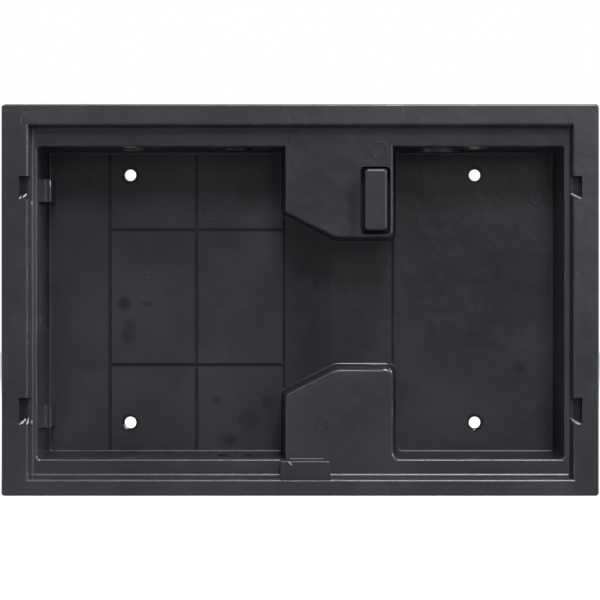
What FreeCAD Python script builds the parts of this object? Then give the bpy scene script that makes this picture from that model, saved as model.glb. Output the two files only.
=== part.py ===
import FreeCAD, Part
import math
import os

import Sketcher

# Flush back box: one injection-moulded plastic housing that is plastered into a wall behind a
# wall panel. The frame is the box as mounted: X runs right, Y into the wall, Z up. The origin is
# the middle of the rim's front face, so every depth below is measured from that face.

SIZES = {
    # Rim, the flat frame round the opening that stays flush with the wall.
    "rim_width": 216.0,
    "rim_height": 141.6,
    "rim_thickness": 2.6,
    "rim_corner": 1.2,
    "rim_edge_round": 0.7,
    # Mouth, where the rim ends. Its middle lies a little off the middle of the rim.
    "mouth_width": 197.2,
    "mouth_height": 128.25,
    "mouth_x": 0.15,
    "mouth_z": -0.725,
    "mouth_edge_round": 0.9,
    # First recess, a shallow tray with leaning walls, and the ledge that is its floor.
    "step_depth": 7.0,
    "step_lean": 0.9,
    "step_foot_round": 1.1,
    "ledge_sides": 2.0,
    "ledge_top": 6.7,
    "ledge_bottom": 6.25,
    # Deep cavity. Its walls lean by the mould's draft, given at the foot of each wall.
    "cavity_depth": 40.0,
    "cavity_draft": 0.65,
    "side_draft": 1.45,
    "cavity_corner": 1.2,
    "cavity_edge_round": 0.8,
    "cavity_foot_round": 1.0,
    "wall": 2.2,
    "floor": 2.6,
    "tub_corner": 2.6,
    "tub_edge_round": 1.0,
    # Middle blocks, flush with the ledge, with the cable channel between them.
    "block_left": -5.4,
    "block_width": 39.0,
    "block_corner": 2.2,
    "block_foot_corner": 2.6,
    "channel_top": 22.85,
    "channel_bottom": -25.15,
    "channel_bend": 18.2,
    "channel_slant": 9.15,
    "bend_round": 8.0,
    "block_tip_round": 1.8,
    "channel_rise": 3.0,
    "ramp_width": 16.7,
    "ramp_rise": 0.9,
    # Grooves in the deep floor.
    "groove_width": 1.2,
    "groove_depth": 1.1,
    "groove_left": -71.2,
    "groove_middle": -38.9,
    "groove_upper": 26.0,
    "groove_lower": -24.4,
    "side_groove_width": 1.1,
    "side_groove_depth": 1.7,
    # Stop pad on the upper block, with a moat round it.
    "well_width": 10.85,
    "well_height": 24.7,
    "well_depth": 10.0,
    "well_corner": 1.6,
    "well_lip_side": 0.87,
    "well_lip_bottom": 0.92,
    "pad_width": 8.15,
    "pad_height": 22.45,
    "pad_side_gap": 1.2,
    "pad_bottom_gap": 1.45,
    "pad_proud": 2.4,
    "pad_corner": 1.3,
    "pad_edge_round": 0.9,
    # Screw holes through the deep floor.
    "screw_hole": 4.3,
    "screw_spacing_x": 128.5,
    "screw_spacing_z": 92.3,
    "screw_x": 0.66,
    "screw_z": 0.26,
    # Clip pockets beside the mouth, two on each side, with a ramp as their lower wall.
    "clip_reach": 3.2,
    "clip_depth": 5.8,
    "clip_ramp": 2.6,
    "clip_upper_z": 40.6,
    "clip_upper_height": 8.5,
    "clip_lower_z": -40.3,
    "clip_lower_height": 10.0,
    # Guide blocks on the left deep wall, with a slope that leads down to their face.
    "guide_height": 8.3,
    "guide_reach": 4.0,
    "guide_face": 2.0,
    "guide_top": 8.0,
    "guide_slope": 7.0,
    "guide_upper_z": 39.9,
    "guide_lower_z": -42.5,
    # Catch block on the bottom ledge.
    "catch_left": -7.15,
    "catch_width": 18.05,
    "catch_rise": 4.4,
    "catch_lean": 0.65,
    "catch_notch": 0.45,
    "catch_bevel": 0.6,
    # Knockouts for conduit and cable.
    "conduit_diameter": 20.5,
    "conduit_rise": 1.25,
    "conduit_x": 49.5,
    "cable_diameter": 12.0,
    "cable_rise": 0.6,
    "cable_left_x": -61.7,
    "cable_right_x": -23.8,
    "knockout_depth": 20.0,
    "knockout_ring": 1.0,
    "knockout_web": 0.8,
}

document = FreeCAD.newDocument("FlushBackBox")
sheet = document.addObject("Spreadsheet::Sheet", "Sizes")
for row, (name, value) in enumerate(SIZES.items(), start=1):
    sheet.set(f"A{row}", name)
    sheet.set(f"B{row}", str(value))
    sheet.setAlias(f"B{row}", name)
document.recompute()

# Places worked out from the sizes, written once as expressions.
MOUTH_LEFT = "(Sizes.mouth_x - Sizes.mouth_width / 2)"
MOUTH_RIGHT = "(Sizes.mouth_x + Sizes.mouth_width / 2)"
MOUTH_TOP = "(Sizes.mouth_z + Sizes.mouth_height / 2)"
MOUTH_BOTTOM = "(Sizes.mouth_z - Sizes.mouth_height / 2)"
CAVITY_LEFT = f"({MOUTH_LEFT} + Sizes.step_lean + Sizes.ledge_sides)"
CAVITY_RIGHT = f"({MOUTH_RIGHT} - Sizes.step_lean - Sizes.ledge_sides)"
CAVITY_TOP = f"({MOUTH_TOP} - Sizes.step_lean - Sizes.ledge_top)"
CAVITY_BOTTOM = f"({MOUTH_BOTTOM} + Sizes.step_lean + Sizes.ledge_bottom)"
BLOCK_LEFT = "Sizes.block_left"
BLOCK_RIGHT = "(Sizes.block_left + Sizes.block_width)"
CHANNEL_TOP = "Sizes.channel_top"
CHANNEL_BOTTOM = "Sizes.channel_bottom"
CHANNEL_BEND = "(Sizes.block_left + Sizes.channel_bend)"
SLANT_ANGLE = "atan(Sizes.channel_slant / Sizes.channel_bend)"
LEDGE_DEPTH = "Sizes.step_depth"
FLOOR_DEPTH = "(Sizes.step_depth + Sizes.cavity_depth)"
BACK_DEPTH = f"({FLOOR_DEPTH} + Sizes.floor)"
CHANNEL_DEPTH = f"({FLOOR_DEPTH} - Sizes.channel_rise)"
RAMP_END_DEPTH = f"({FLOOR_DEPTH} - Sizes.ramp_rise)"
RAMP_TOP = "(Sizes.block_left + Sizes.ramp_width)"
MOUTH = (MOUTH_LEFT, MOUTH_BOTTOM, MOUTH_RIGHT, MOUTH_TOP)
CAVITY = (CAVITY_LEFT, CAVITY_BOTTOM, CAVITY_RIGHT, CAVITY_TOP)
DRAFT_ANGLE = "atan(Sizes.cavity_draft / Sizes.cavity_depth)"
WELL_RIGHT = f"({BLOCK_RIGHT} - Sizes.well_lip_side)"
WELL_LEFT = f"({WELL_RIGHT} - Sizes.well_width)"
WELL_BOTTOM = f"({CHANNEL_TOP} + Sizes.well_lip_bottom)"
WELL_TOP = f"({WELL_BOTTOM} + Sizes.well_height)"
PAD_RIGHT = f"({WELL_RIGHT} - Sizes.pad_side_gap)"
PAD_LEFT = f"({PAD_RIGHT} - Sizes.pad_width)"
PAD_BOTTOM = f"({WELL_BOTTOM} + Sizes.pad_bottom_gap)"
PAD_TOP = f"({PAD_BOTTOM} + Sizes.pad_height)"

BASE_PLANES = {"front": "XZ_Plane", "level": "XY_Plane", "side": "YZ_Plane"}
TOLERANCE = 1e-4

# The volume after each feature, to see that each one adds or cuts what it should.
volumes = [0.0]


def size_of(expression):
    """The number that an expression on the size sheet gives."""
    return float(sheet.evalExpression(expression))


def new_sketch(body, name, plane, distance="0"):
    """A sketch on one of the body's planes, moved off it by a distance.

    "front" is drawn in X and Z and moved into the wall, "level" is drawn in X and Y and moved up,
    "side" is drawn in Y and Z and moved to the right.
    """
    sketch = body.newObject("Sketcher::SketchObject", name)
    role = BASE_PLANES[plane]
    base = next(feature for feature in body.Origin.OriginFeatures if feature.Role == role)
    sketch.AttachmentSupport = (base, "")
    sketch.MapMode = "FlatFace"
    sign = "-" if plane == "front" else ""
    sketch.setExpression("AttachmentOffset.Base.z", f"{sign}({distance})")
    return sketch


def pin(sketch, geometry, point, x, y):
    """Hold one point of a sketch at the two expressions."""
    for kind, expression in (("DistanceX", x), ("DistanceY", y)):
        value = size_of(expression)
        index = sketch.addConstraint(
            Sketcher.Constraint(kind, -1, 1, geometry, point, value))
        sketch.setExpression(f"Constraints[{index}]", expression)


def draw_polygon(sketch, corners):
    """A closed outline of straight lines through the corners, each held by two expressions."""
    points = [FreeCAD.Vector(size_of(x), size_of(y), 0) for x, y in corners]
    first = sketch.GeometryCount
    for start, end in zip(points, points[1:] + points[:1]):
        sketch.addGeometry(Part.LineSegment(start, end))
    for number, (x, y) in enumerate(corners):
        line = first + number
        following = first + (number + 1) % len(corners)
        sketch.addConstraint(Sketcher.Constraint("Coincident", line, 2, following, 1))
        pin(sketch, line, 1, x, y)


def draw_rectangle(sketch, left, bottom, right, top):
    draw_polygon(sketch, [(left, bottom), (right, bottom), (right, top), (left, top)])


def draw_rounded_rectangle(sketch, left, bottom, right, top, radius):
    """A rectangle with four equal corner arcs, tangent to its sides."""
    low_x, low_y, high_x, high_y = (size_of(edge) for edge in (left, bottom, right, top))
    r = size_of(radius)
    first = sketch.GeometryCount
    sides = [
        ((low_x + r, low_y), (high_x - r, low_y)),
        ((high_x, low_y + r), (high_x, high_y - r)),
        ((high_x - r, high_y), (low_x + r, high_y)),
        ((low_x, high_y - r), (low_x, low_y + r)),
    ]
    centres = [(high_x - r, low_y + r), (high_x - r, high_y - r),
               (low_x + r, high_y - r), (low_x + r, low_y + r)]
    for start, end in sides:
        sketch.addGeometry(Part.LineSegment(FreeCAD.Vector(*start, 0), FreeCAD.Vector(*end, 0)))
    for quarter, (x, y) in enumerate(centres):
        circle = Part.Circle(FreeCAD.Vector(x, y, 0), FreeCAD.Vector(0, 0, 1), r)
        turn = (quarter - 1) * math.pi / 2
        sketch.addGeometry(Part.ArcOfCircle(circle, turn, turn + math.pi / 2))
    for quarter in range(4):
        arc = first + 4 + quarter
        following = first + (quarter + 1) % 4
        sketch.addConstraint(Sketcher.Constraint("Tangent", first + quarter, 2, arc, 1))
        sketch.addConstraint(Sketcher.Constraint("Tangent", arc, 2, following, 1))
        if quarter:
            sketch.addConstraint(Sketcher.Constraint("Equal", first + 4, arc))
    index = sketch.addConstraint(Sketcher.Constraint("Radius", first + 4, r))
    sketch.setExpression(f"Constraints[{index}]", radius)
    sketch.addConstraint(Sketcher.Constraint("Horizontal", first))
    sketch.addConstraint(Sketcher.Constraint("Vertical", first + 1))
    for kind, line, expression in (
            ("DistanceY", first, bottom), ("DistanceX", first + 1, right),
            ("DistanceY", first + 2, top), ("DistanceX", first + 3, left)):
        index = sketch.addConstraint(
            Sketcher.Constraint(kind, -1, 1, line, 1, size_of(expression)))
        sketch.setExpression(f"Constraints[{index}]", expression)


def draw_circle(sketch, x, y, diameter):
    """A circle held by its middle and its diameter."""
    middle = FreeCAD.Vector(size_of(x), size_of(y), 0)
    circle = Part.Circle(middle, FreeCAD.Vector(0, 0, 1), size_of(diameter) / 2)
    geometry = sketch.addGeometry(circle)
    pin(sketch, geometry, 3, x, y)
    index = sketch.addConstraint(
        Sketcher.Constraint("Diameter", geometry, size_of(diameter)))
    sketch.setExpression(f"Constraints[{index}]", diameter)


def shrink(window, sides, ends):
    """A front-view window, given as left, bottom, right and top, made smaller all round."""
    left, bottom, right, top = window
    return f"{left} + {sides}", f"{bottom} + {ends}", f"{right} - {sides}", f"{top} - {ends}"


def add_wedge(body, kind, name, near, near_window, far, far_window):
    """A block with leaning sides, from one window at a near depth to another at a far depth."""
    feature = body.newObject(f"PartDesign::{kind}Wedge", name)
    edges = ("Xmin", "Zmin", "Xmax", "Zmax"), ("X2min", "Z2min", "X2max", "Z2max")
    for properties, window in zip(edges, (near_window, far_window)):
        for property_name, expression in zip(properties, window):
            feature.setExpression(property_name, expression)
    feature.setExpression("Ymin", near)
    feature.setExpression("Ymax", far)
    document.recompute()
    record_change(feature, kind == "Additive")


def record_change(feature, adds):
    """Note the volume after a feature, and stop if it didn't add or cut as it should."""
    volumes.append(feature.Shape.Volume)
    change = volumes[-1] - volumes[-2]
    if (change > 0) != adds:
        raise ValueError(f"{feature.Name} changed the volume by {change:.1f} cubic millimetres")


def extrude(body, kind, name, sketch, length, taper=None, reverse=False, both_ways=False):
    """A Pad or Pocket of a sketch. A taper narrows it along its way."""
    feature = body.newObject(f"PartDesign::{kind}", name)
    feature.Profile = sketch
    feature.setExpression("Length", length)
    feature.Reversed = reverse
    if both_ways:
        feature.SideType = "Symmetric"
    if taper:
        feature.setExpression("TaperAngle", f"-({taper})")
    document.recompute()
    record_change(feature, kind == "Pad")


def round_edges(body, name, radius, wanted):
    """A fillet on every edge of the body that the test picks."""
    carrier = body.Tip
    edges = enumerate(carrier.Shape.Edges, start=1)
    names = [f"Edge{number}" for number, edge in edges if wanted(edge)]
    if not names:
        raise ValueError(f"{name} found no edge to round")
    feature = body.newObject("PartDesign::Fillet", name)
    feature.Base = (carrier, names)
    feature.setExpression("Radius", radius)
    document.recompute()
    volumes.append(feature.Shape.Volume)


def at_depth(edge, depth):
    """Whether the whole edge lies at one depth behind the rim's face."""
    box = edge.BoundBox
    return abs(box.YMin - depth) < TOLERANCE and abs(box.YMax - depth) < TOLERANCE


def runs_between(edge, shallow, deep):
    """Whether the edge is a straight one that runs from one depth to the other."""
    box = edge.BoundBox
    return abs(box.YMin - shallow) < TOLERANCE and abs(box.YMax - deep) < TOLERANCE


def inside(edge, left, bottom, right, top):
    """Whether the edge lies inside a window of the front view."""
    box = edge.BoundBox
    return box.XMin > left and box.XMax < right and box.ZMin > bottom and box.ZMax < top


def build_shell(body):
    """The rim plate with the two trays behind it, still without their hollows."""
    sketch = new_sketch(body, "RimOutline", "front")
    draw_rounded_rectangle(
        sketch, "-Sizes.rim_width / 2", "-Sizes.rim_height / 2",
        "Sizes.rim_width / 2", "Sizes.rim_height / 2", "Sizes.rim_corner")
    extrude(body, "Pad", "RimPlate", sketch, "Sizes.rim_thickness", reverse=True)
    outward = "(-Sizes.wall)"
    tray = shrink(MOUTH, outward, outward)
    tray_depth = f"({LEDGE_DEPTH} + Sizes.wall)"
    lean = f"Sizes.step_lean * {tray_depth} / {LEDGE_DEPTH}"
    add_wedge(body, "Additive", "StepTray", "0", tray, tray_depth, shrink(tray, lean, lean))
    tub = shrink(CAVITY, outward, outward)
    deepening = "(Sizes.cavity_depth + Sizes.floor) / Sizes.cavity_depth"
    add_wedge(
        body, "Additive", "DeepTub", LEDGE_DEPTH, tub, BACK_DEPTH,
        shrink(tub, f"Sizes.side_draft * {deepening}", f"Sizes.cavity_draft * {deepening}"))
    tray_back = size_of(tray_depth)
    back = size_of(BACK_DEPTH)
    round_edges(
        body, "TubCorners", "Sizes.tub_corner",
        lambda edge: runs_between(edge, tray_back, back))
    round_edges(body, "TubBackEdge", "Sizes.tub_edge_round", lambda edge: at_depth(edge, back))


def build_clip_housings(body):
    """Closed boxes behind the rim that hold the clip pockets."""
    outward = "(Sizes.clip_reach + Sizes.wall)"
    sketch = new_sketch(body, "ClipHousingOutlines", "front")
    for level in ("upper", "lower"):
        middle = f"Sizes.clip_{level}_z"
        half = f"(Sizes.clip_{level}_height / 2 + Sizes.wall)"
        for left, right in (
                (f"{MOUTH_LEFT} - {outward}", MOUTH_LEFT),
                (MOUTH_RIGHT, f"{MOUTH_RIGHT} + {outward}")):
            draw_rectangle(sketch, left, f"{middle} - {half}", right, f"{middle} + {half}")
    extrude(body, "Pad", "ClipHousings", sketch, "Sizes.clip_depth + Sizes.wall", reverse=True)


def cut_hollows(body):
    """The first recess, the two cavities, and the channel that joins them between the blocks."""
    add_wedge(
        body, "Subtractive", "FirstRecess", "0", MOUTH, LEDGE_DEPTH,
        shrink(MOUTH, "Sizes.step_lean", "Sizes.step_lean"))
    for name, left, right in (
            ("LeftCavity", CAVITY_LEFT, BLOCK_LEFT), ("RightCavity", BLOCK_RIGHT, CAVITY_RIGHT)):
        window = (left, CAVITY_BOTTOM, right, CAVITY_TOP)
        add_wedge(
            body, "Subtractive", name, LEDGE_DEPTH, window, FLOOR_DEPTH,
            shrink(window, "Sizes.side_draft", "Sizes.cavity_draft"))
    overlap = "(2 * Sizes.side_draft)"
    rise = f"Sizes.channel_slant * (1 + {overlap} / Sizes.channel_bend)"
    left = f"{BLOCK_LEFT} - {overlap}"
    right = f"{BLOCK_RIGHT} + {overlap}"
    sketch = new_sketch(body, "ChannelOutline", "front", LEDGE_DEPTH)
    draw_polygon(sketch, [
        (left, f"{CHANNEL_BOTTOM} - {rise}"), (CHANNEL_BEND, CHANNEL_BOTTOM),
        (right, CHANNEL_BOTTOM), (right, CHANNEL_TOP),
        (CHANNEL_BEND, CHANNEL_TOP), (left, f"{CHANNEL_TOP} + {rise}")])
    extrude(body, "Pocket", "Channel", sketch, "Sizes.cavity_depth", DRAFT_ANGLE)


def round_cavity(body):
    """The corners of the cavity and blocks, then the edges that the eye and a hand meet."""
    ledge = size_of(LEDGE_DEPTH)
    floor = size_of(FLOOR_DEPTH)
    reach = size_of("Sizes.side_draft") + 1
    block_left = size_of(BLOCK_LEFT)
    bend = size_of(CHANNEL_BEND)
    block_right = size_of(BLOCK_RIGHT)
    low = size_of(CAVITY_BOTTOM)
    high = size_of(CAVITY_TOP)

    def stands_at(x, bottom, top):
        """A test for upright edges near one place across, between two heights."""
        return lambda edge: runs_between(edge, ledge, floor) and inside(
            edge, x - reach, bottom, x + reach, top)

    def at_cavity_corner(edge):
        outer = edge.BoundBox.XMax < block_left - reach or edge.BoundBox.XMin > block_right + reach
        return runs_between(edge, ledge, floor) and outer

    between = (low + 2 * reach, high - 2 * reach)
    round_edges(body, "ChannelBends", "Sizes.bend_round", stands_at(bend, *between))
    round_edges(body, "BlockTips", "Sizes.block_tip_round", stands_at(block_left, *between))
    round_edges(body, "ChannelMouthCorners", "Sizes.block_corner", stands_at(block_right, *between))
    round_edges(
        body, "BlockFootCorner", "Sizes.block_foot_corner",
        stands_at(block_right, low - reach, low + 2 * reach))
    round_edges(body, "CavityCorners", "Sizes.cavity_corner", at_cavity_corner)
    outward = "(-Sizes.wall / 2)"
    cavity = [size_of(edge) for edge in shrink(CAVITY, outward, outward)]
    mouth = [size_of(edge) for edge in shrink(MOUTH, outward, outward)]
    round_edges(
        body, "CavityEdge", "Sizes.cavity_edge_round",
        lambda edge: at_depth(edge, ledge) and inside(edge, *cavity))
    round_edges(
        body, "CavityFoot", "Sizes.cavity_foot_round",
        lambda edge: at_depth(edge, floor) and inside(edge, *cavity))
    round_edges(
        body, "StepFoot", "Sizes.step_foot_round",
        lambda edge: at_depth(edge, ledge) and inside(edge, *mouth) and not inside(edge, *cavity))
    round_edges(
        body, "MouthEdge", "Sizes.mouth_edge_round",
        lambda edge: at_depth(edge, 0) and inside(edge, *mouth))
    round_edges(
        body, "RimEdge", "Sizes.rim_edge_round",
        lambda edge: at_depth(edge, 0) and not inside(edge, *mouth))


def build_channel_floor(body):
    """The floor between the blocks: level on the right, then a ramp down to the left cavity."""
    low = f"{CHANNEL_BOTTOM} - Sizes.channel_slant"
    high = f"{CHANNEL_TOP} + Sizes.channel_slant"
    ramp_end = f"{BLOCK_LEFT} - Sizes.side_draft + Sizes.side_groove_width"
    buried = f"{FLOOR_DEPTH} + Sizes.floor / 2"
    sketch = new_sketch(body, "ChannelFloorSection", "level", low)
    draw_polygon(sketch, [
        (BLOCK_RIGHT, buried), (BLOCK_RIGHT, CHANNEL_DEPTH), (RAMP_TOP, CHANNEL_DEPTH),
        (ramp_end, RAMP_END_DEPTH), (ramp_end, buried)])
    extrude(body, "Pad", "ChannelFloor", sketch, f"{high} - ({low})")


def cut_floor_grooves(body):
    """Narrow grooves that divide the left floor, and one down each side of the channel."""
    half = "Sizes.groove_width / 2"
    side_left = f"({BLOCK_LEFT} - Sizes.side_draft)"
    sketch = new_sketch(body, "FloorGrooveOutlines", "front", FLOOR_DEPTH)
    for middle in ("Sizes.groove_left", "Sizes.groove_middle"):
        draw_rectangle(
            sketch, f"{middle} - {half}", CAVITY_BOTTOM, f"{middle} + {half}", CAVITY_TOP)
    extrude(body, "Pocket", "FloorGrooves", sketch, "Sizes.groove_depth")
    sketch = new_sketch(body, "CrossGrooveOutlines", "front", FLOOR_DEPTH)
    for middle in ("Sizes.groove_upper", "Sizes.groove_lower"):
        draw_rectangle(
            sketch, "Sizes.groove_left", f"{middle} - {half}", side_left, f"{middle} + {half}")
    extrude(body, "Pocket", "CrossGrooves", sketch, "Sizes.groove_depth")
    slanted = "Sizes.channel_slant - Sizes.cavity_draft"
    sketch = new_sketch(body, "ChannelGrooveOutlines", "front", FLOOR_DEPTH)
    for left, reach in ((side_left, slanted), (BLOCK_RIGHT, "(-Sizes.cavity_draft)")):
        draw_rectangle(
            sketch, left, f"{CHANNEL_BOTTOM} - ({reach})",
            f"{left} + Sizes.side_groove_width", f"{CHANNEL_TOP} + {reach}")
    extrude(body, "Pocket", "ChannelGrooves", sketch, "Sizes.side_groove_depth")


def build_pad(body):
    """The pad beside the right edge of the upper block, standing in a moat of its own."""
    sketch = new_sketch(body, "MoatOutline", "front", LEDGE_DEPTH)
    draw_rounded_rectangle(
        sketch, WELL_LEFT, WELL_BOTTOM, WELL_RIGHT, WELL_TOP, "Sizes.well_corner")
    draw_rounded_rectangle(sketch, PAD_LEFT, PAD_BOTTOM, PAD_RIGHT, PAD_TOP, "Sizes.pad_corner")
    extrude(body, "Pocket", "Moat", sketch, "Sizes.well_depth")
    sketch = new_sketch(body, "PadOutline", "front", LEDGE_DEPTH)
    draw_rounded_rectangle(sketch, PAD_LEFT, PAD_BOTTOM, PAD_RIGHT, PAD_TOP, "Sizes.pad_corner")
    extrude(body, "Pad", "StopPad", sketch, "Sizes.pad_proud")
    face = size_of(f"{LEDGE_DEPTH} - Sizes.pad_proud")
    round_edges(
        body, "PadEdge", "Sizes.pad_edge_round",
        lambda edge: at_depth(edge, face))


def build_guides(body):
    """Two guide blocks on the left wall of the deep cavity, with a slope down to their face."""
    foot = f"{CAVITY_LEFT} + Sizes.side_draft - Sizes.wall / 2"
    face = f"{LEDGE_DEPTH} + Sizes.guide_top"
    reach = f"{CAVITY_LEFT} + Sizes.guide_reach"
    buried = f"{FLOOR_DEPTH} + Sizes.floor / 2"
    for name in ("upper", "lower"):
        low = f"Sizes.guide_{name}_z - Sizes.guide_height / 2"
        sketch = new_sketch(body, f"{name.title()}GuideSection", "level", low)
        draw_polygon(sketch, [
            (foot, buried), (f"{CAVITY_LEFT} - Sizes.wall / 2", f"{face} - Sizes.guide_slope"),
            (CAVITY_LEFT, f"{face} - Sizes.guide_slope"),
            (f"{reach} - Sizes.guide_face", face), (reach, face), (reach, buried)])
        extrude(body, "Pad", f"{name.title()}Guide", sketch, "Sizes.guide_height")


def build_catch(body):
    """The catch block on the bottom ledge, in a notch of the recess wall below it."""
    face = f"({LEDGE_DEPTH} - Sizes.catch_rise)"
    notch = f"{MOUTH_BOTTOM} - Sizes.catch_notch"
    sketch = new_sketch(body, "CatchNotchSection", "side", "Sizes.catch_left")
    draw_rectangle(sketch, "-Sizes.wall", notch, face, f"{MOUTH_BOTTOM} + Sizes.step_lean")
    extrude(body, "Pocket", "CatchNotch", sketch, "Sizes.catch_width", reverse=True)
    sketch = new_sketch(body, "CatchSection", "side", "Sizes.catch_left")
    top = f"{CAVITY_BOTTOM} - Sizes.catch_lean"
    buried_depth = f"{LEDGE_DEPTH} + Sizes.wall / 2"
    buried_foot = f"{MOUTH_BOTTOM} - Sizes.wall / 2"
    draw_polygon(sketch, [
        (f"{face} + Sizes.catch_bevel", top), (face, f"{top} - Sizes.catch_bevel"),
        (face, buried_foot),
        (buried_depth, f"{buried_foot} + Sizes.step_lean"), (buried_depth, CAVITY_BOTTOM),
        (LEDGE_DEPTH, CAVITY_BOTTOM)])
    extrude(body, "Pad", "Catch", sketch, "Sizes.catch_width")


def cut_clip_pockets(body):
    """The four clip pockets. Each has a square upper wall and a ramp as its lower wall."""
    for side, outer in (
            ("Left", f"{MOUTH_LEFT} - Sizes.clip_reach"),
            ("Right", f"{MOUTH_RIGHT} + Sizes.clip_reach")):
        sketch = new_sketch(body, f"{side}ClipSections", "side", outer)
        for level in ("upper", "lower"):
            half = f"Sizes.clip_{level}_height / 2"
            top = f"Sizes.clip_{level}_z + {half}"
            bottom = f"Sizes.clip_{level}_z - {half}"
            draw_polygon(sketch, [
                ("-Sizes.wall", bottom), ("0", bottom),
                ("Sizes.clip_depth", f"{bottom} + Sizes.clip_ramp"),
                ("Sizes.clip_depth", top), ("-Sizes.wall", top)])
        extrude(
            body, "Pocket", f"{side}ClipPockets", sketch, "Sizes.clip_reach + Sizes.step_lean",
            reverse=side == "Left")


def build_knockouts(body):
    """Round knockouts in the top and bottom walls.

    Each is a disc that stands a little proud inside, with a ring groove outside that leaves a
    thin web to break.
    """
    middle = f"{LEDGE_DEPTH} + Sizes.knockout_depth"
    lean = "Sizes.cavity_draft * Sizes.knockout_depth / Sizes.cavity_depth"
    conduit = ("Sizes.conduit_x", "Sizes.conduit_diameter")
    left_cable = ("Sizes.cable_left_x", "Sizes.cable_diameter")
    right_cable = ("Sizes.cable_right_x", "Sizes.cable_diameter")
    walls = (
        ("Top", CAVITY_TOP, "-", [("conduit", [conduit]), ("cable", [left_cable, right_cable])]),
        ("Bottom", CAVITY_BOTTOM, "+", [("cable", [right_cable])]),
    )
    for wall, mouth, inward, kinds in walls:
        on_top = wall == "Top"
        outward = "+" if on_top else "-"
        inner = f"({mouth} {inward} {lean})"
        for kind, circles in kinds:
            rise = f"Sizes.{kind}_rise"
            name = f"{wall}{kind.title()}Discs"
            sketch = new_sketch(body, f"{name}Outline", "level", f"{inner} {inward} {rise}")
            for x, diameter in circles:
                draw_circle(sketch, x, middle, diameter)
            extrude(body, "Pad", name, sketch, f"{rise} + Sizes.wall / 2", reverse=not on_top)
        name = f"{wall}KnockoutRings"
        sketch = new_sketch(body, f"{name}Outline", "level", f"{mouth} {outward} Sizes.wall")
        for x, diameter in [circle for _, circles in kinds for circle in circles]:
            draw_circle(sketch, x, middle, diameter)
            draw_circle(sketch, x, middle, f"{diameter} + 2 * Sizes.knockout_ring")
        extrude(
            body, "Pocket", name, sketch, f"Sizes.wall + {lean} - Sizes.knockout_web",
            reverse=not on_top)


def drill_screw_holes(body):
    """Four clearance holes through the deep floor."""
    sketch = new_sketch(body, "ScrewPattern", "front", FLOOR_DEPTH)
    for x_sign in "-+":
        for z_sign in "-+":
            draw_circle(
                sketch, f"Sizes.screw_x {x_sign} Sizes.screw_spacing_x / 2",
                f"Sizes.screw_z {z_sign} Sizes.screw_spacing_z / 2", "Sizes.screw_hole")
    document.recompute()
    holes = body.newObject("PartDesign::Hole", "ScrewHoles")
    holes.Profile = sketch
    document.recompute()
    holes.DepthType = "ThroughAll"
    holes.DrillPoint = "Flat"
    holes.setExpression("Diameter", "Sizes.screw_hole")
    document.recompute()
    if not holes.Shape.Volume < volumes[-1]:
        raise ValueError("the screw holes cut nothing")


def cut_cores(body):
    """Hollows from behind that keep the blocks and the channel floor at one wall thickness."""
    inset = "(Sizes.wall - Sizes.cavity_draft)"
    half_turn = f"tan({SLANT_ANGLE} / 2)"
    rise = f"(Sizes.channel_slant + {inset} * (1 / cos({SLANT_ANGLE}) - tan({SLANT_ANGLE})))"
    left = f"{BLOCK_LEFT} + {inset}"
    right = f"{BLOCK_RIGHT} - {inset}"
    bend = f"{CHANNEL_BEND} + {inset} * {half_turn}"
    thin = f"{BACK_DEPTH} - {LEDGE_DEPTH} - Sizes.wall"
    beside_well = f"{WELL_LEFT} - Sizes.wall"
    upper_left = f"{CHANNEL_TOP} + {rise}"
    lower_left = f"{CHANNEL_BOTTOM} - {rise}"
    upper_edge = f"{CHANNEL_TOP} + {inset}"
    lower_edge = f"{CHANNEL_BOTTOM} - {inset}"
    top = f"{CAVITY_TOP} - Sizes.cavity_draft"
    bottom = f"{CAVITY_BOTTOM} + Sizes.cavity_draft"
    sketch = new_sketch(body, "UpperCoreOutline", "front", BACK_DEPTH)
    draw_polygon(sketch, [
        (left, upper_left), (bend, upper_edge), (right, upper_edge), (right, top), (left, top)])
    extrude(
        body, "Pocket", "UpperCore", sketch, f"{thin} - Sizes.well_depth", DRAFT_ANGLE,
        reverse=True)
    sketch = new_sketch(body, "DeepCoreOutlines", "front", BACK_DEPTH)
    draw_polygon(sketch, [
        (left, upper_left), (bend, upper_edge), (beside_well, upper_edge), (beside_well, top),
        (left, top)])
    draw_polygon(sketch, [
        (left, bottom), (right, bottom), (right, lower_edge), (bend, lower_edge),
        (left, lower_left)])
    extrude(body, "Pocket", "DeepCores", sketch, thin, DRAFT_ANGLE, reverse=True)
    sketch = new_sketch(
        body, "ChannelCoreSection", "level", f"{CHANNEL_TOP} - Sizes.cavity_draft")
    core_left = f"{BLOCK_LEFT} + Sizes.wall"
    core_right = f"{BLOCK_RIGHT} - Sizes.wall"
    draw_polygon(sketch, [
        (core_left, f"{RAMP_END_DEPTH} + Sizes.floor"),
        (RAMP_TOP, f"{CHANNEL_DEPTH} + Sizes.floor"),
        (core_right, f"{CHANNEL_DEPTH} + Sizes.floor"),
        (core_right, f"{BACK_DEPTH} + Sizes.floor"),
        (core_left, f"{BACK_DEPTH} + Sizes.floor")])
    extrude(
        body, "Pocket", "ChannelCore", sketch,
        f"{CHANNEL_TOP} - ({CHANNEL_BOTTOM}) - 2 * Sizes.cavity_draft")


def check_document():
    """Stop if any object failed, or if a sub-part has no valid solid."""
    for item in document.Objects:
        if "Invalid" in item.State or "Error" in item.State:
            raise ValueError(f"{item.Name} failed: {item.State}")
    for item in document.findObjects("PartDesign::Body"):
        if item.Shape.isNull() or not item.Shape.isValid() or len(item.Shape.Solids) != 1:
            raise ValueError(f"{item.Label} has no single valid solid")


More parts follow.
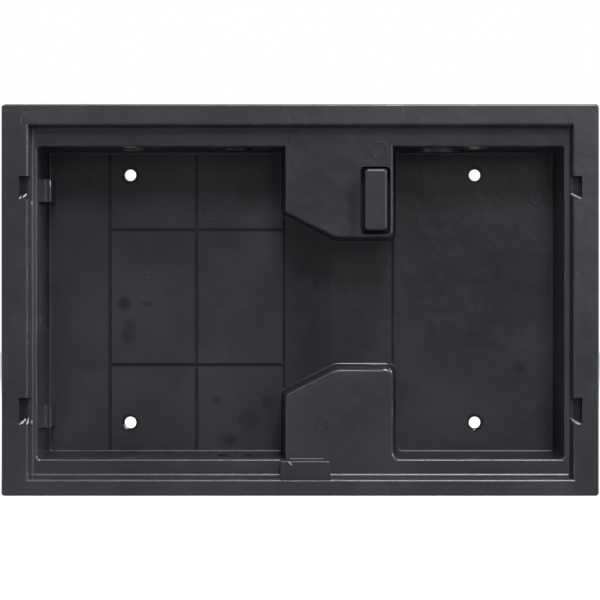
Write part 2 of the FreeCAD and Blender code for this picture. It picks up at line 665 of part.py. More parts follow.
back_box = document.addObject("PartDesign::Body", "back_box")
back_box.Label = "back_box"
build_shell(back_box)
build_clip_housings(back_box)
cut_hollows(back_box)
round_cavity(back_box)
build_channel_floor(back_box)
build_guides(back_box)
build_catch(back_box)
build_pad(back_box)
cut_floor_grooves(back_box)
cut_clip_pockets(back_box)
build_knockouts(back_box)
cut_cores(back_box)
drill_screw_holes(back_box)
document.recompute()
check_document()

os.makedirs("parts", exist_ok=True)
back_box.Shape.exportStep(f"parts/{back_box.Label}.step")
print(f"{back_box.Label}: {back_box.Shape.Volume / 1000:.1f} cubic centimetres")
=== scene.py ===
import math

import bmesh
import bpy
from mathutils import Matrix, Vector


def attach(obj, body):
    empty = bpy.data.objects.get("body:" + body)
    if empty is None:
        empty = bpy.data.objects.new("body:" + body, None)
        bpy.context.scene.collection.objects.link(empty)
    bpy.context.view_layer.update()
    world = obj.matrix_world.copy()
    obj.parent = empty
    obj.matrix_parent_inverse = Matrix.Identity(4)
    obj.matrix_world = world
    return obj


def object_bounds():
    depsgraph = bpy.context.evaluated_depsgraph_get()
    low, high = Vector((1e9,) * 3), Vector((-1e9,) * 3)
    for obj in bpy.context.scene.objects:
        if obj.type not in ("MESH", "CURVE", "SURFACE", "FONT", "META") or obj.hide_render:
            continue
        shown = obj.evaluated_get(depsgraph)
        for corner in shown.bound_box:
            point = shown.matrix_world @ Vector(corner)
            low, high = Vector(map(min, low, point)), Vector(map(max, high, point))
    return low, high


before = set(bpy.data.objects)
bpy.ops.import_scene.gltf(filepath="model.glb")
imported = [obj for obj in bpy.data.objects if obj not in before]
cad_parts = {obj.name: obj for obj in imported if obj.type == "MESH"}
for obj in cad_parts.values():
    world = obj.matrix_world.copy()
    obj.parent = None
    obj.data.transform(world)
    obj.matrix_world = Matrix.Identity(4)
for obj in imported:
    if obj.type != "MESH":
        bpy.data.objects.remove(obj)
cad_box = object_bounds()


# The place that the box is seen from: square on to the rim, a little right of its middle and a
# little above it, from about one and a half metres.
RIM_DISTANCE = 1.416
VIEW_RIGHT = 0.00681
VIEW_UP = 0.00555
SENSOR_WIDTH = 36.0
LENS = 235.1
SHIFT_RIGHT = -0.0317
SHIFT_UP = -0.0255

camera_data = bpy.data.cameras.new("viewpoint")
camera_data.sensor_width = SENSOR_WIDTH
camera_data.lens = LENS
camera_data.shift_x = SHIFT_RIGHT
camera_data.shift_y = SHIFT_UP
camera = bpy.data.objects.new("viewpoint", camera_data)
camera.location = (VIEW_RIGHT, -RIM_DISTANCE, VIEW_UP)
camera.rotation_euler = (math.radians(90), 0, 0)
bpy.context.collection.objects.link(camera)
bpy.context.scene.camera = camera
bpy.context.scene.view_settings.view_transform = "Standard"


# The studio lamps: a tall one overhead that draws a bright line along each rounded edge, one at
# the right, two weak ones in front and one behind. All stand at one distance and shine at the box.
LAMP_DISTANCE = 1.5
LAMP_TARGET = Vector((0, 0.02, 0))


def place_lamp(name, turned, raised, width, height, power):
    """A soft lamp, turned to the right and raised by angles from straight ahead."""
    turned = math.radians(turned)
    raised = math.radians(raised)
    out = Vector((
        math.sin(turned) * math.cos(raised), -math.cos(turned) * math.cos(raised),
        math.sin(raised)))
    lamp_data = bpy.data.lights.new(name, "AREA")
    lamp_data.shape = "RECTANGLE"
    lamp_data.size = width
    lamp_data.size_y = height
    lamp_data.energy = power
    lamp = bpy.data.objects.new(name, lamp_data)
    lamp.location = LAMP_TARGET + out * LAMP_DISTANCE
    lamp.rotation_euler = out.to_track_quat("Z", "Y").to_euler()
    bpy.context.collection.objects.link(lamp)


place_lamp("overhead_lamp", 12, 52, 0.3, 0.55, 15)
place_lamp("side_lamp", 76, 18, 0.35, 0.35, 24)
place_lamp("front_lamp", 4, 28, 0.3, 0.3, 12)
place_lamp("near_lamp", 11, 11, 0.25, 0.25, 3.2)
place_lamp("rear_lamp", 205, 30, 0.5, 0.5, 22)


# The room: plain white wherever it is seen, straight on or mirrored, and almost dark as a light.
ROOM_LIGHT = 0.03


class Wire:
    """One output of a node. Arithmetic on it adds the Math node that works it out."""

    def __init__(self, tree, socket=None):
        self.tree = tree
        self.socket = socket

    def node(self, kind, settings=None, sockets=None, output=0):
        """Any other node: its settings are set first, then the values or links of its sockets."""
        made = self.tree.nodes.new(kind)
        for name, value in (settings or {}).items():
            setattr(made, name, value)
        for name, value in (sockets or {}).items():
            if isinstance(value, Wire):
                self.tree.links.new(value.socket, made.inputs[name])
            else:
                made.inputs[name].default_value = value
        return Wire(self.tree, made.outputs[output] if made.outputs else None)

    def beside(self, output):
        """Another output of the same node."""
        return Wire(self.tree, self.socket.node.outputs[output])

    def maths(self, operation, first, second):
        return self.node("ShaderNodeMath", {"operation": operation}, {0: first, 1: second})

    def __add__(self, other):
        return self.maths("ADD", self, other)

    def __radd__(self, other):
        return self.maths("ADD", other, self)

    def __sub__(self, other):
        return self.maths("SUBTRACT", self, other)

    def __rsub__(self, other):
        return self.maths("SUBTRACT", other, self)

    def __mul__(self, other):
        return self.maths("MULTIPLY", self, other)

    def __rmul__(self, other):
        return self.maths("MULTIPLY", other, self)


def shown_rays(tree):
    """1 for a ray that shows what lies behind the box, straight on, mirrored or let through."""
    straight = Wire(tree).node("ShaderNodeLightPath", output="Is Camera Ray")
    bounced = straight.maths(
        "MAXIMUM", straight.beside("Is Glossy Ray"), straight.beside("Is Transmission Ray"))
    return straight.maths("MAXIMUM", straight, bounced)


world = bpy.data.worlds.new("room")
world.use_nodes = True
world.node_tree.nodes.clear()
room = shown_rays(world.node_tree)
background = room.node("ShaderNodeBackground", None, {
    "Color": (1, 1, 1, 1), "Strength": room * (1 - ROOM_LIGHT) + ROOM_LIGHT})
room.node("ShaderNodeOutputWorld", None, {"Surface": background})
bpy.context.scene.world = world


# The floor that the box stands on: matt and pale, with the box's soft shadow.
FLOOR_REACH = 3.0
FLOOR_GREY = 0.5
FLOOR_GLOW = 0.65

floor_mesh = bpy.data.meshes.new("white_floor")
floor_mesh.from_pydata(
    [(side * FLOOR_REACH, end * FLOOR_REACH, cad_box[0][2])
     for side, end in ((-1, -1), (1, -1), (1, 1), (-1, 1))], [], [(0, 1, 2, 3)])
floor = bpy.data.objects.new("white_floor", floor_mesh)
bpy.context.collection.objects.link(floor)
floor_paint = bpy.data.materials.new("white_floor")
floor_paint.use_nodes = True
floor_paint.node_tree.nodes.clear()
shown = shown_rays(floor_paint.node_tree)
matt = shown.node("ShaderNodeBsdfDiffuse", None, {
    "Color": (FLOOR_GREY, FLOOR_GREY, FLOOR_GREY, 1)})
glow = shown.node("ShaderNodeEmission", None, {"Strength": shown * FLOOR_GLOW})
shown.node("ShaderNodeOutputMaterial", None, {
    "Surface": shown.node("ShaderNodeAddShader", None, {0: matt, 1: glow})})
floor_mesh.materials.append(floor_paint)


# The moulding: one piece of dark charcoal plastic, injection-moulded in a spark-eroded tool. The
# grain is fine and matt inside and rubbed smoother on the rim. Edges are worn paler, and partly
# painted paler as a highlight; the whole rim is painted paler as a sheen. The deep floors carry
# smudges and the witness rings of ejector pins, the rim a few knocks, and painted shade darkens
# the floor's grooves, the clip pockets and wide patches of the rim, the blocks and the floors.
SHADE_DEEP = (0.0178, 0.0188, 0.0223, 1)
SHADE_PALE = (0.0245, 0.0259, 0.0301, 1)
WORN_AND_PAINTED_HIGHLIGHT = (0.06, 0.062, 0.068, 1)
SMUDGE_AND_PAINTED_SHADE = (0.006, 0.0063, 0.0078, 1)
INSIDE_ROUGHNESS = 0.31
RIM_ROUGHNESS = 0.27
GLOSS_LEVEL = 0.08
BURNISHED = 0.6
BURNISHED_ROUGHNESS = 0.24
GRAIN_PER_METRE = 2400
WAVES_PER_METRE = 95
CLOUDS_PER_METRE = 38
LEDGE_DEPTH = 0.007
FLOOR_DEPTH = 0.047

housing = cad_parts["back_box"]
plastic = bpy.data.materials.new("charcoal_plastic")
plastic.use_nodes = True
plastic.node_tree.nodes.clear()
place = Wire(plastic.node_tree).node("ShaderNodeTexCoord", output="Object")
depth = place.node("ShaderNodeSeparateXYZ", None, {0: place}, "Y")
across = depth.beside("X")
height = depth.beside("Z")
outward = place.node("ShaderNodeSeparateXYZ", None, {0: place.beside("Normal")}, "Y")
facing = outward.maths("MAXIMUM", outward, 0 - outward)


def rise(value, low, high, first=0.0, last=1.0):
    """A smooth change from the first to the last number while a value goes from low to high."""
    return value.node("ShaderNodeMapRange", {"interpolation_type": "SMOOTHSTEP"}, {
        "Value": value, "From Min": low, "From Max": high, "To Min": first, "To Max": last})


def between(value, start, full, fading, end):
    """1 while a value lies between full and fading, and 0 before the start and past the end."""
    return rise(value, start, full) * rise(value, fading, end, 1, 0)


def strongest(masks):
    """The highest of several masks at each point."""
    result = masks[0]
    for mask in masks[1:]:
        result = place.maths("MAXIMUM", result, mask)
    return result


def cloud(per_metre, detail=2.0, stretch=None):
    """Soft random patches, as many to a metre as given, drawn out where a stretch is given."""
    where = place
    if stretch:
        where = place.node("ShaderNodeMapping", None, {
            "Vector": place, "Rotation": stretch[0], "Scale": stretch[1]})
    return place.node("ShaderNodeTexNoise", None, {
        "Vector": where, "Scale": per_metre, "Detail": detail})


def blend(factor, first, second):
    """One colour where the factor is 0 and another where it is 1."""
    return factor.node("ShaderNodeMix", {"data_type": "RGBA"}, {0: factor, 6: first, 7: second}, 2)


def face_at(face_depth, slack=0.0006):
    """1 on faces that lie at one depth behind the rim's front, and 0 elsewhere."""
    return between(
        depth, face_depth - 2 * slack, face_depth - slack, face_depth + slack,
        face_depth + 2 * slack)


# A little noise is added to the places of the marks, so that their outlines aren't exact ovals.
WANDERS_PER_METRE = 260
WANDER_REACH = 0.0016
wander = place.node("ShaderNodeVectorMath", {"operation": "SUBTRACT"}, {
    0: cloud(WANDERS_PER_METRE).beside("Color"), 1: (0.5, 0.5, 0.5)})
wander = place.node(
    "ShaderNodeVectorMath", {"operation": "SCALE"}, {0: wander, "Scale": WANDER_REACH})
wobbled = place.node("ShaderNodeVectorMath", {"operation": "ADD"}, {0: place, 1: wander})

# The places of marks and small pieces are in millimetres, this many to the metre.
MILLIMETRES = 1000


def from_mark(right, up, wide, tall):
    """How far a point lies from an oval mark's middle, where 1 is the mark's edge."""
    away = place.node("ShaderNodeVectorMath", {"operation": "SUBTRACT"}, {
        0: wobbled, 1: (right / MILLIMETRES, 0, up / MILLIMETRES)})
    scaled = place.node("ShaderNodeVectorMath", {"operation": "MULTIPLY"}, {
        0: away, 1: (2 * MILLIMETRES / wide, 0, 2 * MILLIMETRES / tall)})
    return place.node("ShaderNodeVectorMath", {"operation": "LENGTH"}, {0: scaled}, "Value")


# Greasy smudges on the deep floors: right, up, wide, tall in millimetres, and how dark.
FLOOR_SMUDGES = (
    (-65.6, -1.3, 6.5, 6.0, 0.8), (-57.4, -1.6, 5.0, 3.0, 0.5), (-64.1, -12.0, 6.0, 12.0, 0.55),
    (-31.6, -37.5, 6.0, 4.0, 0.45), (-12.2, -38.2, 7.0, 6.0, 0.5), (-19.3, -45.3, 9.0, 9.0, 0.6),
    (-26.4, -52.4, 9.0, 5.0, 0.65), (-79.4, 43.9, 3.0, 5.0, 0.35), (-79.0, -24.0, 16.0, 6.0, 0.3),
    (-20.0, 40.0, 12.0, 16.0, 0.35), (81.9, -25.6, 6.5, 4.5, 0.7), (80.4, -30.5, 4.5, 5.0, 0.7),
    (84.5, -46.5, 7.0, 4.0, 0.6), (72.5, -8.8, 5.5, 4.0, 0.6), (40.8, -6.1, 4.0, 4.0, 0.6),
    (49.0, -6.0, 13.0, 20.0, 0.45), (62.0, 20.0, 26.0, 9.0, 0.25), (58.0, -16.0, 14.0, 4.0, 0.3))
smudges_and_painted_shade = strongest([
    rise(from_mark(right, up, wide, tall), 0.35, 1.15, darkness, 0)
    for right, up, wide, tall, darkness in FLOOR_SMUDGES])
smudges_and_painted_shade = smudges_and_painted_shade * face_at(FLOOR_DEPTH)

# Wide patches of painted shade on the rim's left and lower right, the block faces beside the pad,
# the channel's ramp and the right floor, in the same measures, with the depth of the face.
CHANNEL_RAMP_DEPTH = 0.0453
WIDE_PAINTED_SHADE = (
    (-103.0, 0.0, 16.0, 200.0, 0.4, 0.0), (103.0, -40.0, 16.0, 110.0, 0.45, 0.0),
    (14.0, 40.0, 56.0, 44.0, 0.5, LEDGE_DEPTH), (19.5, 36.0, 9.0, 40.0, 0.75, LEDGE_DEPTH),
    (14.0, -42.0, 52.0, 36.0, 0.3, LEDGE_DEPTH), (66.0, 0.0, 84.0, 56.0, 0.5, FLOOR_DEPTH),
    (50.0, 28.0, 40.0, 52.0, 0.4, FLOOR_DEPTH), (86.0, -36.0, 40.0, 44.0, 0.35, FLOOR_DEPTH),
    (2.0, 0.0, 18.0, 64.0, 0.45, CHANNEL_RAMP_DEPTH))
for right, up, wide, tall, darkness, face_depth in WIDE_PAINTED_SHADE:
    spot = rise(from_mark(right, up, wide, tall), 0.3, 1.1, darkness, 0)
    smudges_and_painted_shade = place.maths("MAXIMUM", smudges_and_painted_shade, spot * face_at(face_depth))
smudges_and_painted_shade = smudges_and_painted_shade * rise(cloud(170, 3.0), 0.3, 0.6, 0.45, 1)

# A dark ring round each screw hole on the deep floor, and painted shade in the clip pockets beside
# the mouth.
HOLE_BORE = 4.3
HOLE_PLACES = ((-63.59, 46.41), (64.91, 46.41), (-63.59, -45.89), (64.91, -45.89))
MOUTH_SIDE = 0.0990
for right, up in HOLE_PLACES:
    ring = rise(from_mark(right, up, HOLE_BORE, HOLE_BORE), 1.35, 1.6, 1, 0)
    smudges_and_painted_shade = place.maths("MAXIMUM", smudges_and_painted_shade, ring * face_at(FLOOR_DEPTH))
beside_mouth = place.maths(
    "MAXIMUM", rise(across, MOUTH_SIDE, MOUTH_SIDE + 0.0004),
    rise(across, -MOUTH_SIDE, -MOUTH_SIDE + 0.0004, 1, 0))
pocket_painted_shade = beside_mouth * between(depth, 0.0030, 0.0050, 0.0062, 0.0066)
smudges_and_painted_shade = place.maths("MAXIMUM", smudges_and_painted_shade, pocket_painted_shade * 0.85)

# Witness marks that ejector pins leave: right, up, wide, tall in millimetres.
FLOOR_RINGS = (
    (-56.8, 8.8, 3.6, 2.6), (-56.8, -8.8, 3.4, 2.6), (-56.9, -34.9, 2.6, 2.0),
    (-33.1, 31.9, 6.0, 5.6), (35.5, 45.0, 3.4, 3.4), (88.0, 38.0, 5.6, 5.6))
LEDGE_RINGS = (
    (-58.2, -59.9, 3.4, 2.6), (-29.9, -60.3, 2.8, 2.6), (-58.2, 58.8, 4.4, 3.4),
    (28.6, 54.2, 5.8, 6.2), (-1.9, 58.8, 4.6, 4.4), (8.0, -45.0, 4.6, 4.6))


def witness_rings(marks):
    """The thin raised ring round each pin mark."""
    return strongest([
        between(from_mark(right, up, wide, tall), 0.72, 0.92, 1.0, 1.2)
        for right, up, wide, tall in marks])


ringed = witness_rings(FLOOR_RINGS) * face_at(FLOOR_DEPTH)
ringed = place.maths("MAXIMUM", ringed, witness_rings(LEDGE_RINGS) * face_at(LEDGE_DEPTH))

# Knocks and scrapes on the rim: right, up, wide, tall in millimetres, and how pale. The last, a
# long streak down the mouth's upper left edge, is a painted highlight.
RIM_KNOCKS_AND_HIGHLIGHT = (
    (37.5, 68.0, 0.7, 5.0, 0.8), (-4.0, 66.0, 0.6, 4.4, 0.5), (-100.9, 65.2, 0.8, 3.4, 0.6),
    (-98.7, 67.6, 5.0, 0.7, 0.4), (31.4, -68.0, 0.7, 3.2, 0.7), (100.4, 9.4, 0.8, 3.0, 0.6),
    (104.6, -15.2, 3.6, 0.8, 0.5), (102.6, -12.9, 1.2, 1.2, 0.4), (88.0, 68.6, 6.0, 2.0, 0.25),
    (101.5, 30.0, 2.2, 7.0, 0.2), (-98.5, 53.0, 1.0, 22.0, 0.9))
knocks_and_painted_highlight = strongest([
    rise(from_mark(right, up, wide, tall), 0.5, 1.1, paleness, 0)
    for right, up, wide, tall, paleness in RIM_KNOCKS_AND_HIGHLIGHT])
on_rim = rise(depth, 0.0009, 0.0016, 1, 0)
knocks_and_painted_highlight = knocks_and_painted_highlight * on_rim * rise(cloud(900), 0.3, 0.5)

# Nicks in the left walls: right, up, wide, tall and the depths that each lies between.
WALL_NICKS = (
    (-95.3, -7.0, 2.6, 3.4, 15.0, 19.0), (-97.9, 34.9, 2.4, 1.6, 5.4, 7.4),
    (-94.4, 18.8, 2.4, 0.9, 39.0, 46.0), (-94.4, -11.3, 2.4, 0.9, 39.0, 46.0))
NICK_END = 0.0004
for right, up, wide, tall, near, far in WALL_NICKS:
    near = near / MILLIMETRES
    far = far / MILLIMETRES
    spot = rise(from_mark(right, up, wide, tall), 0.5, 1.1, 1, 0) * between(
        depth, near, near + NICK_END, far - NICK_END, far)
    knocks_and_painted_highlight = place.maths("MAXIMUM", knocks_and_painted_highlight, spot)

# The rounded edges lie just behind the rim's front and just behind the ledge, where handling and
# the fitter's trowel rub them paler. Their paleness is partly a painted highlight along the edges.
rubbed_and_highlit = between(depth, 0.00006, 0.0002, 0.0007, 0.001) + between(
    depth, LEDGE_DEPTH + 0.00005, LEDGE_DEPTH + 0.0002, LEDGE_DEPTH + 0.0006,
    LEDGE_DEPTH + 0.0009)
wear_and_painted_highlight = place.maths("MAXIMUM", rubbed_and_highlit * rise(cloud(160, 4.0), 0.42, 0.68, 0.1, 0.75), knocks_and_painted_highlight)

# Painted shade in the floor's grooves.
groove_painted_shade = between(
    depth, FLOOR_DEPTH + 0.0002, FLOOR_DEPTH + 0.0006, FLOOR_DEPTH + 0.0016, FLOOR_DEPTH + 0.002)

# Every rounded edge faces neither straight forwards nor straight sideways. Where it also faces
# up, handling and cleaning have burnished it smoother.
rounded = between(facing, 0.16, 0.3, 0.965, 0.99)
rounded = rounded * rise(outward.beside("Z"), -0.25, 0.15)

# The feet of the deep walls are out of reach. The upper block's right edge is burnished most, the
# lower block's hardly at all.
FEET_DEPTH = 0.0446
BLOCK_RIGHT = 0.0336
BLOCK_FOOT = -0.0562
at_right_edges = between(
    across, BLOCK_RIGHT - 0.0036, BLOCK_RIGHT - 0.0028, BLOCK_RIGHT + 0.003, BLOCK_RIGHT + 0.0038)
at_right_edges = at_right_edges * rise(height, BLOCK_FOOT, BLOCK_FOOT + 0.001)
rounded = rounded * rise(depth, FEET_DEPTH, FEET_DEPTH + 0.001, 1, 0.3)
rounded = rounded * (1 + at_right_edges * rise(height, -0.027, -0.02, -0.85, 0.6))

# Hairline scratches: noise drawn out into long thin streaks in two directions.
streaks = rise(cloud(1.0, 1.0, ((0, 0.5, 0), (110, 1, 4200))), 0.70, 0.76)
cross_streaks = rise(cloud(1.0, 1.0, ((0, -0.95, 0), (90, 1, 3600))), 0.71, 0.77)
scratched = place.maths("MAXIMUM", streaks, cross_streaks) * rise(cloud(30), 0.45, 0.62)

mottle = rise(cloud(CLOUDS_PER_METRE, 4.0), 0.32, 0.68)
colour = blend(mottle, SHADE_DEEP, SHADE_PALE)
# Darker on the smudges, the rings round the screw holes and the painted shade.
colour = blend(smudges_and_painted_shade, colour, SMUDGE_AND_PAINTED_SHADE)
# Paler on worn edges and knocks, partly a painted highlight, and a painted sheen over the whole
# rim.
colour = blend(place.maths("MAXIMUM", wear_and_painted_highlight * 0.8, on_rim * 0.07), colour, WORN_AND_PAINTED_HIGHLIGHT)
colour = blend(scratched * 0.22, colour, WORN_AND_PAINTED_HIGHLIGHT)
# Darker on the pin rings, and painted shade in the floor's grooves.
colour = blend(place.maths("MAXIMUM", ringed * 0.25, groove_painted_shade * 0.75), colour, SMUDGE_AND_PAINTED_SHADE)
roughness = rise(depth, 0.0009, 0.003, RIM_ROUGHNESS, INSIDE_ROUGHNESS)
roughness = roughness + (cloud(55, 3.0) - 0.5) * 0.1 - wear_and_painted_highlight * 0.06 + scratched * 0.08

grain = place.node("ShaderNodeBump", None, {
    "Height": cloud(GRAIN_PER_METRE), "Strength": 0.35, "Distance": 0.00006})
waves = place.node("ShaderNodeBump", None, {
    "Height": cloud(WAVES_PER_METRE, 3.0), "Strength": 0.5, "Distance": 0.0006, "Normal": grain})
marks = place.node("ShaderNodeBump", None, {
    "Height": ringed * 0.3 - scratched * 0.25 - knocks_and_painted_highlight * 0.5, "Strength": 0.6,
    "Distance": 0.0002, "Normal": waves})
surface = place.node("ShaderNodeBsdfPrincipled", None, {
    "Base Color": colour, "Roughness": roughness, "Normal": marks,
    "Specular IOR Level": GLOSS_LEVEL, "Coat Weight": rounded * BURNISHED,
    "Coat Roughness": BURNISHED_ROUGHNESS})
place.node("ShaderNodeOutputMaterial", None, {"Surface": surface})
housing.data.materials.clear()
housing.data.materials.append(plastic)


# The foot of each channel wall: the radius that the tool leaves between the wall of a block and
# the channel's floor, from the block's tip round its bend and down the ramp. Part of the moulding.
FOOT_RADIUS = 1.05
FOOT_BURIED = 0.15
CHANNEL_FLOOR_DEPTH = 44.0
RAMP_TOP = 11.3
RAMP_FALL = 2.1
RAMP_RUN = 17.05
TIP_FROM = 48
TIP_SHARE = 0.3
TIP_RIGHT = 31.8
TIP_RADIUS = 2.4
BEND_RIGHT = 12.8
BEND_RADIUS = 8.0
SLANT_FALL = 9.15
SLANT_RUN = 18.2
SLANT = math.atan(SLANT_FALL / SLANT_RUN)
SLANT_LEFT = -4.6
SLANT_SHARE = 0.9
ARC_STEPS = 6
FOOT_SHARP_FROM = 32


def foot_line(wall):
    """Points along the foot of a wall from its tip: right, up, the direction to the channel and
    the share of the full radius."""
    line = []
    for step in range(ARC_STEPS + 1):
        turn = math.radians(TIP_FROM + (90 - TIP_FROM) * step / ARC_STEPS)
        line.append((
            TIP_RIGHT + TIP_RADIUS * math.cos(turn),
            wall - TIP_RADIUS + TIP_RADIUS * math.sin(turn), math.cos(turn), math.sin(turn),
            TIP_SHARE + (1 - TIP_SHARE) * step / ARC_STEPS))
    bend_start = BEND_RIGHT + BEND_RADIUS * math.tan(SLANT / 2)
    for step in range(ARC_STEPS + 1):
        turn = math.radians(90) + SLANT * step / ARC_STEPS
        line.append((
            bend_start + BEND_RADIUS * math.cos(turn), wall - BEND_RADIUS * (1 - math.sin(turn)),
            math.cos(turn), math.sin(turn), 1))
    last_right, last_up = line[-1][:2]
    run = last_right - SLANT_LEFT
    line.append((
        SLANT_LEFT, last_up - run * math.tan(SLANT), math.cos(turn), math.sin(turn),
        SLANT_SHARE))
    return line


def close_rings(mesh, rings):
    """Faces between each ring of corners and the next, and one over each end."""
    for first, second in zip(rings, rings[1:]):
        for corner in range(len(first)):
            after = (corner + 1) % len(first)
            face = mesh.faces.new((first[corner], first[after], second[after], second[corner]))
            face.smooth = True
    mesh.faces.new(rings[0])
    mesh.faces.new(rings[-1])


def finish_piece(name, mesh, paint, sharp_from):
    """The mesh as a piece of the moulding, its edges sharp from an angle in degrees."""
    bmesh.ops.recalc_face_normals(mesh, faces=mesh.faces)
    for edge in mesh.edges:
        edge.smooth = edge.calc_face_angle(0) < math.radians(sharp_from)
    data = bpy.data.meshes.new(name)
    mesh.to_mesh(data)
    mesh.free()
    piece = bpy.data.objects.new(name, data)
    bpy.context.collection.objects.link(piece)
    data.materials.append(paint)
    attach(piece, "root")


def build_foot(name, wall, mirrored):
    """The strip of plastic that rounds one wall's foot, with its back and base buried."""
    mesh = bmesh.new()
    side = -1 if mirrored else 1
    rings = []
    for right, up, out_right, out_up, share in foot_line(wall):
        radius = FOOT_RADIUS * share
        floor_depth = CHANNEL_FLOOR_DEPTH + RAMP_FALL * max(0, RAMP_TOP - right) / RAMP_RUN
        section = [(-FOOT_BURIED, floor_depth + FOOT_BURIED), (-FOOT_BURIED, floor_depth - radius)]
        for step in range(ARC_STEPS + 1):
            turn = math.radians(90 * step / ARC_STEPS)
            section.append((
                radius - radius * math.cos(turn), floor_depth - radius + radius * math.sin(turn)))
        section.append((radius, floor_depth + FOOT_BURIED))
        rings.append([mesh.verts.new((
            (right + out * out_right) / MILLIMETRES, back / MILLIMETRES,
            side * (up + out * out_up) / MILLIMETRES)) for out, back in section])
    close_rings(mesh, rings)
    finish_piece(name, mesh, plastic, FOOT_SHARP_FROM)


build_foot("lower_channel_foot", -24.56, False)
build_foot("upper_channel_foot", -22.26, True)


# The beads: small rounded edges along the faces of the two guide blocks in the left of the deep
# cavity, and along the top of the catch. They are of the moulding's own plastic, moulded with it.
STRAND_SIDES = 12
STRAND_SHARP_FROM = 50


def build_strands(name, paint, strands):
    """Strands of plastic that lie on the moulding. Each has the direction that it stands out to,
    and a line of points: right, depth, up, half its width and half its height there."""
    mesh = bmesh.new()
    for stands_out, line in strands:
        rings = []
        for index, (right, back, up, half_width, half_height) in enumerate(line):
            before = Vector(line[max(index - 1, 0)][:3])
            after = Vector(line[min(index + 1, len(line) - 1)][:3])
            along = (after - before).normalized()
            sideways = along.cross(Vector(stands_out)).normalized()
            out = sideways.cross(along)
            ring = []
            for side in range(STRAND_SIDES):
                turn = 2 * math.pi * side / STRAND_SIDES
                ring.append(mesh.verts.new((
                    Vector((right, back, up)) + sideways * half_width * math.cos(turn)
                    + out * half_height * math.sin(turn)) / MILLIMETRES))
            rings.append(ring)
        close_rings(mesh, rings)
    finish_piece(name, mesh, paint, STRAND_SHARP_FROM)


GUIDE_FACE_DEPTH = 15.0
GUIDE_FACE_RIGHT = -91.55
GUIDE_FACE_LEFT = -93.4
GUIDE_BEAD_SUNK = 0.12
GUIDE_BEAD_HEIGHT = 0.42
FORWARDS = (0, -1, 0)
FORWARDS_AND_UP = (0, -1, 1)
FORWARDS_AND_RIGHT = (1, -1, 0)
build_strands("guide_beads", plastic, [
    (FORWARDS, [
        (right, GUIDE_FACE_DEPTH + GUIDE_BEAD_SUNK, end, half_width, GUIDE_BEAD_HEIGHT)
        for end in (low, high)])
    for low, high, half_width in ((35.85, 43.95, 0.55), (-46.55, -38.45, 0.5))
    for right in (GUIDE_FACE_LEFT, GUIDE_FACE_RIGHT)])
# Left end, right end, depth, height and half the breadth of each bead on the catch.
CATCH_BEADS = ((-6.8, 10.5, 2.95, -58.7, 0.42), (-3.7, 8.4, 6.9, -57.75, 0.38))
build_strands("catch_beads", plastic, [
    (FORWARDS_AND_UP, [(end, back, up, breadth, breadth) for end in (left, right)])
    for left, right, back, up, breadth in CATCH_BEADS])


# The burrs: torn scraps of the moulding's plastic, stretched white as it left its tool. They hang
# on the ramps of the clip pockets, in the recess's left foot, on the catch and at the two lower
# screw holes. The pale strands at the tip of the lower block and on the upper guide block's right
# edge are painted highlights, white plastic laid where those rounded edges shine.
WHITE_BURR_AND_HIGHLIGHT_DEEP = (0.13, 0.135, 0.145, 1)
WHITE_BURR_AND_HIGHLIGHT_PALE = (0.34, 0.35, 0.37, 1)
RAMP_DEPTH = 5.8
RAMP_RISE = 2.6
RAMP_OUT = (0, -RAMP_RISE, RAMP_DEPTH)
RAMP_BURR_HEIGHT = 0.28
UPPER_RAMP_FOOT = 36.35
LOWER_RAMP_FOOT = -45.3

white_burrs_and_highlights = bpy.data.materials.new("whitened_plastic_and_painted_highlights")
white_burrs_and_highlights.use_nodes = True
white_burrs_and_highlights.node_tree.nodes.clear()
pale_place = Wire(white_burrs_and_highlights.node_tree).node("ShaderNodeTexCoord", output="Object")
pale_grain = pale_place.node("ShaderNodeTexNoise", None, {"Vector": pale_place, "Scale": 900, "Detail": 3.0})
pale_bump = pale_place.node("ShaderNodeBump", None, {
    "Height": pale_grain, "Strength": 0.5, "Distance": 0.0002})
pale_surface = pale_place.node("ShaderNodeBsdfPrincipled", None, {
    "Base Color": blend(rise(pale_grain, 0.35, 0.6), WHITE_BURR_AND_HIGHLIGHT_DEEP, WHITE_BURR_AND_HIGHLIGHT_PALE),
    "Roughness": rise(pale_grain, 0.3, 0.7, 0.4, 0.6), "Normal": pale_bump,
    "Specular IOR Level": 0.2})
pale_place.node("ShaderNodeOutputMaterial", None, {"Surface": pale_surface})

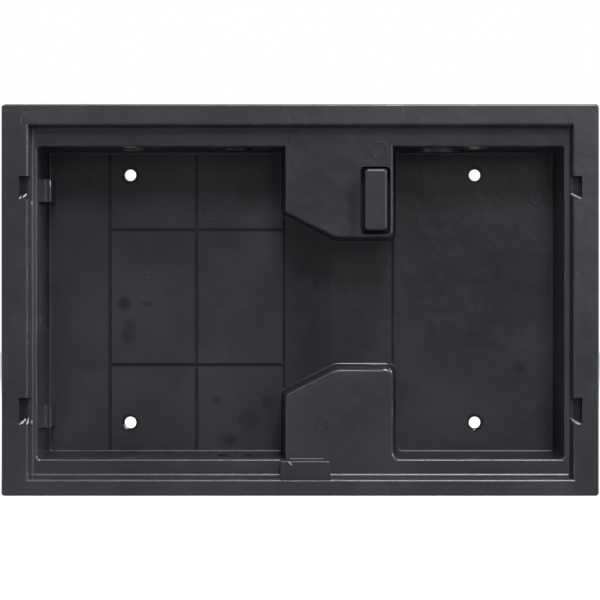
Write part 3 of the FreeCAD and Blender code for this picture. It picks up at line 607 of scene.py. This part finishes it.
# Right, depth and half the breadth of each point of the burrs on the ramps.
UPPER_RAMP_BURRS = (
    ((-101.5, 0.5, 0.16), (-101.3, 1.3, 0.3), (-101.0, 2.3, 0.1)),
    ((-100.5, 1.5, 0.14), (-99.9, 2.9, 0.42), (-99.3, 4.6, 0.2)),
    ((101.7, 0.4, 0.15), (100.4, 2.0, 0.5), (99.3, 3.6, 0.6), (98.3, 5.0, 0.3)))
LOWER_RAMP_BURRS = (
    ((-101.5, 0.35, 0.25), (-100.7, 2.0, 0.6), (-99.6, 4.6, 0.25)),
    ((-98.9, 0.5, 0.3), (-98.75, 2.4, 0.55), (-98.6, 5.4, 0.15)),
    ((101.5, 0.7, 0.45), (100.3, 1.6, 0.75), (99.2, 3.3, 0.55), (98.1, 5.5, 0.15)))
build_strands("clip_pocket_burrs", white_burrs_and_highlights, [
    (RAMP_OUT, [
        (right, back, ramp_foot + RAMP_RISE * back / RAMP_DEPTH, half_width, RAMP_BURR_HEIGHT)
        for right, back, half_width in line])
    for ramp_foot, burrs in (
        (UPPER_RAMP_FOOT, UPPER_RAMP_BURRS), (LOWER_RAMP_FOOT, LOWER_RAMP_BURRS))
    for line in burrs])

build_strands("edge_burrs_and_painted_highlights", white_burrs_and_highlights, [
    (FORWARDS_AND_RIGHT, [
        (-97.6, 6.5, 35.9, 0.12, 0.1), (-97.55, 6.6, 35.2, 0.4, 0.3),
        (-97.5, 6.7, 34.5, 0.12, 0.1)]),
    (FORWARDS_AND_RIGHT, [
        (-97.6, 6.5, -43.6, 0.12, 0.1), (-97.55, 6.6, -44.3, 0.36, 0.3),
        (-97.5, 6.7, -45.1, 0.12, 0.1)]),
    # Painted highlight: pale strands along the rounded tip of the lower block, where it shines.
    (FORWARDS_AND_UP, [
        (29.6, 7.2, -25.3, 0.1, 0.1), (30.9, 7.15, -25.4, 0.34, 0.34),
        (32.1, 7.2, -25.9, 0.26, 0.3), (32.9, 7.4, -26.7, 0.1, 0.1)]),
    (FORWARDS_AND_RIGHT, [
        (32.2, 7.2, -24.9, 0.1, 0.1), (32.7, 7.1, -25.6, 0.3, 0.3), (33.2, 7.3, -26.4, 0.1, 0.1)]),
    (FORWARDS, [
        (-4.3, 2.6, -58.6, 0.2, 0.25), (-3.6, 2.6, -59.1, 0.26, 0.25),
        (-3.0, 2.6, -59.9, 0.1, 0.1)]),
    # Painted highlight: a pale strand down the upper guide block's right edge, where it shines.
    (FORWARDS, [
        (-91.4, 14.7, 41.0, 0.1, 0.1), (-91.35, 14.65, 42.6, 0.22, 0.2),
        (-91.4, 14.7, 43.7, 0.1, 0.1)])])

build_strands("screw_hole_burrs", white_burrs_and_highlights, [
    (FORWARDS, [
        (-66.0, 47.0, -46.5, 0.15, 0.1), (-65.75, 46.9, -47.3, 0.5, 0.3),
        (-65.2, 46.9, -47.9, 0.55, 0.3), (-64.4, 47.0, -48.4, 0.15, 0.1)]),
    (FORWARDS, [
        (64.1, 47.0, -48.25, 0.12, 0.1), (64.75, 46.9, -48.65, 0.45, 0.3),
        (65.4, 47.0, -48.35, 0.12, 0.1)])])
